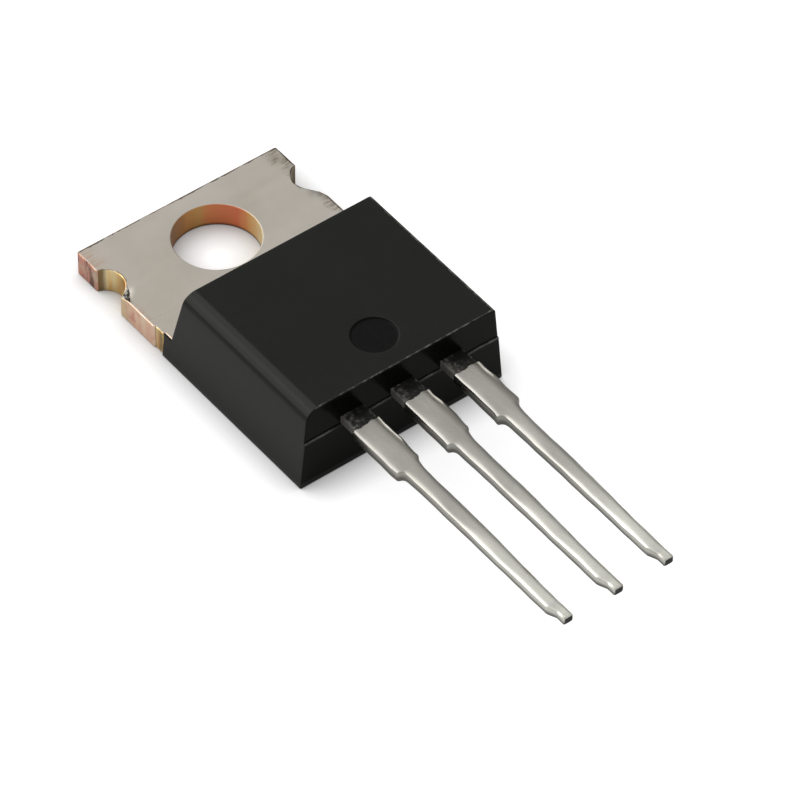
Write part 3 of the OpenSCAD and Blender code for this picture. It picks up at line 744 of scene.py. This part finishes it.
def swept_bar(distance, height, half_w, half_t, shift, lean=0.0):
    """Rounded rectangle carried forwards along a path: the path is a distance in front of the hole
    and a height, and lean is its slope."""
    along, out = ring_places(10, 4, 5)
    given = [np.asarray(value, float) for value in (distance, height, half_w, half_t, shift, lean)]
    distance, height, half_w, half_t, shift, lean = (each[:, None] for each in np.broadcast_arrays(*given))
    x = shift + along[:, 0] * (half_w - LEAD_EDGE) + LEAD_EDGE * out[:, 0]
    up = along[:, 1] * (half_t - LEAD_EDGE) + LEAD_EDGE * out[:, 1]
    return np.stack([x, up * np.sin(lean) - distance, height + up * np.cos(lean)], -1)


def half_width(distance, grow, shoulder, taper):
    """Half width of a lead: wide, then a quarter round shoulder, narrow, and a straight taper."""
    r = WIDE - NARROW
    into = np.clip(distance - (shoulder - r), 0, r)
    wide = WIDE - r + np.sqrt(np.clip(r * r - into * into, 0, None))
    narrow = np.interp(distance, [taper, NECK_TIP_Y], [NARROW, TIP])
    return np.where(distance < shoulder, wide, narrow) + grow


def left_half_width(distance, grow=0.0):
    """Reach of a lead to its left."""
    return half_width(distance, grow, SHOULDER_Y, TAPER_Y)


def right_half_width(distance, grow=0.0):
    """Reach of a lead to its right, where the shoulder and the taper come earlier."""
    return half_width(distance, grow, SHOULDER_Y - SOONER, RIGHT_TAPER_Y)


def lead_half_height(distance, grow=0.0):
    """Half thickness of a lead, which thins over the taper."""
    return np.interp(distance, [TAPER_Y, NECK_TIP_Y], [LEAD_T / 2, TIP_T / 2]) + grow


def lead_stations(start):
    """Distances along a lead from start to its tip, close together where its outline bends."""
    r = WIDE - NARROW
    wide = np.arange(start, SHOULDER_Y - r - SOONER, 0.22)
    shoulder = SHOULDER_Y - r + r * np.sin(np.linspace(0, math.pi / 2, 9))
    after = SHOULDER_Y + np.array([0.002, 0.05, 0.1, 0.16, 0.24, 0.34])
    narrow = np.arange(SHOULDER_Y + 0.5, TAPER_Y, 0.25)
    taper = np.linspace(TAPER_Y - 0.1, NECK_TIP_Y + 0.1, 9)
    return np.unique(
        np.round(np.concatenate([wide, shoulder - SOONER, shoulder, after, narrow, taper, [TIP_Y]]), 5)
    )


def bare_lead(name, node, grid, distance):
    """Skin of a lead: stained root metal, and sheared metal at the end of the tip."""
    zones = np.tile(distance[:, None] > TIP_Y - 0.2, grid.shape[1]).astype(int)
    skin(name, grid, [root_metal, tip_end], [node], zones)


def outer_lead(name, node, place):
    """Bar of even thickness that is the bond post inside the moulding and the lead outside it."""
    middle = (POST_BACK + POST_FRONT) / 2
    post = np.array([POST_BACK, POST_BACK + LEAD_EDGE, middle, POST_FRONT - LEAD_EDGE, POST_FRONT])
    d = np.concatenate([post, lead_stations(POST_FRONT + 0.01)])
    inside = d <= POST_FRONT
    left, right = left_half_width(d), right_half_width(d)
    half_w = np.where(inside, POST_HALF, (left + right) / 2)
    half_w[[0, 4]] -= LEAD_EDGE
    shift = place * PITCH + np.where(inside, place * POST_SHIFT, (right - left) / 2)
    bare_lead(name, node, swept_bar(d, LEAD_MID, half_w, lead_half_height(d), shift), d)


def middle_lead():
    """Strap that leaves the pad, climbs at a slope and runs out as the middle lead: the path is two
    straight runs and the slope, joined by arcs."""
    low, start = TAB_T - LEAD_T / 2, -PAD_Y + 0.08
    turn = np.linspace(0, STRAP_SLOPE, 7)
    rise, run = STRAP_BEND * (1 - np.cos(turn)), STRAP_BEND * np.sin(turn)
    climb = LEAD_MID - low - 2 * rise[-1]
    top = start + 2 * run[-1] + climb / math.tan(STRAP_SLOPE)
    lead = lead_stations(top + 0.1)
    d = np.concatenate([[start - 0.3], start + run, top - run[::-1], lead])
    z = np.concatenate([[low], low + rise, LEAD_MID - rise[::-1], np.full(len(lead), LEAD_MID)])
    lean = np.concatenate([[0], turn, turn[::-1], np.zeros(len(lead))])
    left, right = left_half_width(d), right_half_width(d)
    grid = swept_bar(d, z, (left + right) / 2, lead_half_height(d), (right - left) / 2, lean)
    bare_lead("middle_lead", "drain_frame", grid, d)


def drop_section(distance, left, right, half_t, powers, shift):
    """Section of still solder: |x / reach|^power + |z / half_t|^power = 1, with its own reach to the
    left and right and powers for the upper left, the upper right and below, read off along rays to
    a square whose corners are crowded with points."""
    bunch = np.sin(np.linspace(-math.pi / 2, math.pi / 2, 19))[:-1]
    one = np.ones(len(bunch))
    square = np.concatenate(
        [np.stack(pair, -1) for pair in ((bunch, -one), (one, bunch), (-bunch, one), (-one, -bunch))]
    )
    qx, qz = square.T
    upper_left, upper_right, lower = (np.broadcast_to(p, distance.shape)[:, None] for p in powers)
    power = np.where(qz > 0, np.where(qx > 0, upper_right, upper_left), lower)
    scale = (np.abs(qx) ** power + np.abs(qz) ** power) ** (-1 / power)
    x = shift + np.where(qx > 0, right[:, None], left[:, None]) * qx * scale
    z = LEAD_MID + half_t[:, None] * qz * scale
    y = -np.broadcast_to(distance[:, None], x.shape)
    return np.stack([x, y, z], -1), qx, qz


def tin_coat(name, node, place, seed, left_spread, right_spread):
    """Tube of solder round a lead: a drop section on the lead's own outline, rounder along the
    narrow part, pooled in the shoulders, ragged where it starts and with a lip turned up along the
    right edge there; the inner wall runs back inside."""
    chance = np.random.default_rng(seed)
    phase = chance.uniform(0, 2 * math.pi, 8)
    lip = COAT_Y + np.array([0, 0.012, 0.03, 0.06, 0.1, 0.16])
    lip_grow = np.array([-0.01, 0.02, 0.04, 0.05, 0.05, COAT_T])
    body = lead_stations(COAT_Y + 0.22)
    d = np.concatenate([lip, body[:-1], TIP_Y - np.array([0.04, 0.015, 0.0])])
    grow = np.concatenate([lip_grow, np.full(len(body) - 1, COAT_T), [COAT_T, COAT_T - 0.012, COAT_T - 0.03]])
    ease = np.clip((d - COAT_Y) / 0.6, 0, 1) * np.clip((TIP_Y - d) / 0.6, 0, 1)
    wave = lambda length, number: np.sin(2 * math.pi * d / length + phase[number]) * ease
    # how far the solder reaches to the left and to the right
    wet_left = np.interp(
        d, [SHOULDER_Y - 0.4, SHOULDER_Y, TAPER_Y, NECK_TIP_Y], [left_spread, RUN_OVER, RUN_OVER, 0]
    )
    wet_right = np.interp(d, [COAT_Y, 15.2, 16, SHOULDER_Y, 20, 24], [*right_spread, RUN_OVER, RUN_OVER, 0])
    wet_right -= 0.05 * np.exp(-(((d - COAT_Y - 0.5) / 0.3) ** 2))
    # a pool that shrinks away from each shoulder, never wider than the wide part
    right_narrow = right_half_width(np.maximum(d, SHOULDER_Y))
    sides = (
        (left_half_width(d, grow), NARROW, SHOULDER_Y, 0.09, 0.08, wet_left),
        (right_half_width(d, grow), right_narrow, SHOULDER_Y - SOONER, 0.13, 0.25, wet_right),
    )
    reach = []
    for number, (bare, narrow, shoulder, depth, run, spread) in enumerate(sides):
        pool = narrow + COAT_T + depth * np.exp(-(d - shoulder) / run)
        side = np.where(d < TAPER_Y, np.minimum(WIDE + grow, np.maximum(bare, pool)), bare) + spread
        rough = 1 + 1.5 * number * (d < SHOULDER_Y)
        reach.append(side + 0.006 * rough * wave(2.7, number) + 0.004 * rough * wave(1.1, number + 2))
    bends = [COAT_Y + 0.3, SHOULDER_Y - 0.5, SHOULDER_Y + 0.3, 18, TAPER_Y, NECK_TIP_Y]
    upper_left, upper_right = [12, 11, 9, 8.5, 8.5, 5], [5, 4.5, 3.2, 2.8, 2.8, 5]
    lower = [8, 8, 4.5, 3.6, 3.6, 5]
    powers = [np.interp(d, bends, ends) for ends in (upper_left, upper_right, lower)]
    crown = np.interp(d, bends, [0.01, 0.02, 0.02, 0.015, 0.015, 0.0])
    outer, qx, qz = drop_section(d, *reach, lead_half_height(d, grow), powers, place * PITCH)
    sag = np.interp(d, bends, [0.03, 0.07, 0.05, 0.04, 0.04, 0.0])[:, None]
    outer[..., 2] -= sag * np.clip(-qz, 0, 1)
    # a slight lean and dip, and the turned-up lip with a furrow beside it
    lean, dip = 0.012 * wave(5.3, 4), 0.010 * wave(3.1, 5) + crown
    turned = np.clip((d - COAT_Y) / 0.1, 0, 1) * np.clip((COAT_Y + chance.uniform(1.4, 2.0) - d) / 0.5, 0, 1)
    turned *= 0.7 + 0.3 * np.sin(2 * math.pi * d / 0.8 + phase[6])
    ridge = 0.05 * np.exp(-(((qx - 0.93) / 0.05) ** 2)) - 0.025 * np.exp(-(((qx - 0.74) / 0.09) ** 2))
    lift = lean[:, None] * qx + dip[:, None] * (1 - qx**2) + turned[:, None] * ridge
    outer[..., 2] += np.where(qz > 0.9, lift, 0)
    ragged = 0.04 * np.sin(5 * qx + phase[6]) + 0.03 * np.sin(11 * qx + phase[7]) - 0.05 * qx
    outer[..., 1] -= ragged * np.exp(-((d - COAT_Y) / 0.15) ** 2)[:, None]
    back = np.array([TIP_Y, NECK_TIP_Y, TAPER_Y, SHOULDER_Y + 0.3, SHOULDER_Y - 0.5, COAT_Y + 0.1])
    hollow = left_half_width(back, -SINK), right_half_width(back, -SINK), lead_half_height(back, -SINK)
    inner = drop_section(back, *hollow, (12, 12, 12), place * PITCH)[0]
    skin(name, np.concatenate([outer, inner]), [tin], [node], ring=True, crease=50)


heat_tab()
moulding()
outer_lead("gate_lead_bar", "gate_lead", -1)
middle_lead()
outer_lead("source_lead_bar", "source_lead", 1)
tin_coat("gate_coat", "gate_tinning", -1, 3, 0.08, (0.09, 0.07, -0.03))
tin_coat("drain_coat", "drain_tinning", 0, 5, 0.02, (0.08, 0.08, 0.04))
tin_coat("source_coat", "source_tinning", 1, 8, 0.0, (0.1, 0.1, 0.1))


def dress(node, material):
    """Gives a hidden solid its finish; its shape stays the frame's."""
    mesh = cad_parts[node].data
    mesh.materials.clear()
    mesh.materials.append(material)


dress("silicon_die", silicon())
dress("die_solder", soft_solder())
wire_metal = drawn_aluminium()
for wire in ("gate_wire", "inner_source_wire", "outer_source_wire"):
    dress(wire, wire_metal)


# ---------------------------------------------------------------- floor, light and camera


# share of the white background, beside the studio's own light, that a shiny surface shows
BACKDROP_IN_METAL = 0.3
FLOOR_HALF, FLOOR_DROP, FLOOR_LIFT = 1500, 0.02, 0.85
SHADE_REACH = 1.8  # how close the object has to be to dim the floor's lift


def backdrop_rays(tree):
    """1 for rays that see the background, from the camera or through glass, and a share for those
    that a shiny surface sends there."""
    path = tree.nodes.new("ShaderNodeLightPath").outputs
    in_metal = calculate(tree, "MULTIPLY", path["Is Glossy Ray"], BACKDROP_IN_METAL)
    seen = calculate(tree, "MAXIMUM", path["Is Camera Ray"], in_metal)
    return calculate(tree, "MAXIMUM", seen, path["Is Transmission Ray"])


def pale_floor():
    """Square just under the part. Its white lift fades out where the object is close by, so the
    floor keeps the object's shadow there."""
    mesh = bpy.data.meshes.new("floor")
    ring = [(-1, -1), (1, -1), (1, 1), (-1, 1)]
    corners = [(x * FLOOR_HALF * MM, y * FLOOR_HALF * MM, -FLOOR_DROP * MM) for x, y in ring]
    mesh.from_pydata(corners, [], [(0, 1, 2, 3)])
    floor = bpy.data.objects.new("floor", mesh)
    bpy.context.scene.collection.objects.link(floor)
    material = bpy.data.materials.new("pale_floor")
    material.use_nodes = True
    tree = material.node_tree
    shader = tree.nodes["Principled BSDF"].inputs
    shader["Base Color"].default_value = (0.45, 0.45, 0.45, 1)
    shader["Roughness"].default_value = 0.9
    shader["Specular IOR Level"].default_value = 0.0
    shader["Emission Color"].default_value = (1, 1, 1, 1)
    nearby = tree.nodes.new("ShaderNodeAmbientOcclusion")
    nearby.samples = 8
    nearby.inputs["Distance"].default_value = SHADE_REACH * MM
    clear = remap(tree, nearby.outputs["AO"], 0.2, 1.0)
    seen = calculate(tree, "MULTIPLY", backdrop_rays(tree), clear)
    tree.links.new(calculate(tree, "MULTIPLY", seen, FLOOR_LIFT), shader["Emission Strength"])
    mesh.materials.append(material)


def studio_light():
    """World: white to the camera. As light, a dome that is brighter behind than in front and darker
    behind on the right, with a long softbox behind on the left."""
    world = bpy.data.worlds.new("studio")
    bpy.context.scene.world = world
    world.use_nodes = True
    tree = world.node_tree
    tree.nodes.clear()
    split = tree.nodes.new("ShaderNodeSeparateXYZ")
    tree.links.new(tree.nodes.new("ShaderNodeTexCoord").outputs["Generated"], split.inputs[0])
    x, y, z = split.outputs

    def step(*limits):
        return remap(tree, *limits, "SMOOTHSTEP")

    def times(first, second):
        return calculate(tree, "MULTIPLY", first, second)

    box = times(step(x, 0.14, 0.36, 2.1, 0.0), step(y, 0.1, 0.5, 0.0, 1.0))
    box = times(box, step(z, -0.05, 0.15, 0.0, 1.0))
    shade = times(step(x, 0.5, 0.78, 0.0, 0.75), step(y, 0.0, 0.4, 0.0, 1.0))
    dome = times(step(y, -0.8, 0.6, 0.4, 0.66), calculate(tree, "SUBTRACT", 1.0, shade))
    lamp = tree.nodes.new("ShaderNodeBackground")
    tree.links.new(calculate(tree, "ADD", dome, box), lamp.inputs["Strength"])
    white = tree.nodes.new("ShaderNodeBackground")
    white.inputs["Strength"].default_value = 1.0
    pick = tree.nodes.new("ShaderNodeMixShader")
    output = tree.nodes.new("ShaderNodeOutputWorld")
    tree.links.new(backdrop_rays(tree), pick.inputs[0])
    tree.links.new(lamp.outputs[0], pick.inputs[1])
    tree.links.new(white.outputs[0], pick.inputs[2])
    tree.links.new(pick.outputs[0], output.inputs[0])


def soft_box(name, place, aim, size, energy):
    """Square area lamp at place, turned to aim; both and its size are in metres."""
    lamp = bpy.data.lights.new(name, "AREA")
    lamp.shape = "SQUARE"
    lamp.size, lamp.energy = size, energy
    box = bpy.data.objects.new(name, lamp)
    bpy.context.scene.collection.objects.link(box)
    place, aim = np.array(place, float), np.array(aim, float)
    back = (place - aim) / np.linalg.norm(place - aim)
    side = np.cross((0, 0, 1), back)
    side /= np.linalg.norm(side)
    turn = np.eye(4)
    turn[:3, 0], turn[:3, 1], turn[:3, 2], turn[:3, 3] = side, np.cross(back, side), back, place
    box.matrix_world = Matrix(turn.tolist())


def viewpoint():
    """Camera fitted to the lead pitch: bearing, height angle and roll in degrees, distance and
    offsets in millimetres, focal length and picture width in pixels."""
    bearing, rise, roll = np.radians([-38.070, 46.601, 0.552])
    across, up_shift, distance = 0.526, -0.279, 264.975
    focal, picture_width = 6513.85, 796
    aim = np.array([0, -11.5, 1.5])
    back = np.array(
        [math.sin(bearing) * math.cos(rise), -math.cos(bearing) * math.cos(rise), math.sin(rise)]
    )
    right = np.array([math.cos(bearing), math.sin(bearing), 0])
    up = np.cross(back, right)
    side = math.cos(roll) * right + math.sin(roll) * up
    top = -math.sin(roll) * right + math.cos(roll) * up
    turn = np.eye(4)
    turn[:3, 0], turn[:3, 1], turn[:3, 2] = side, top, back
    turn[:3, 3] = (aim + side * across + top * up_shift + back * distance) * MM
    camera = bpy.data.cameras.new("camera")
    camera.sensor_width = 36
    camera.lens = camera.sensor_width * focal / picture_width
    camera.clip_start, camera.clip_end = 0.01, 10
    view = bpy.data.objects.new("camera", camera)
    view.matrix_world = Matrix(turn.tolist())
    bpy.context.scene.collection.objects.link(view)
    bpy.context.scene.camera = view


bpy.context.scene.view_settings.view_transform = "Standard"
pale_floor()
studio_light()
soft_box("key_softbox", (-0.22, 0.16, 0.26), (0, -0.01, 0), 0.16, 0.045)
viewpoint()
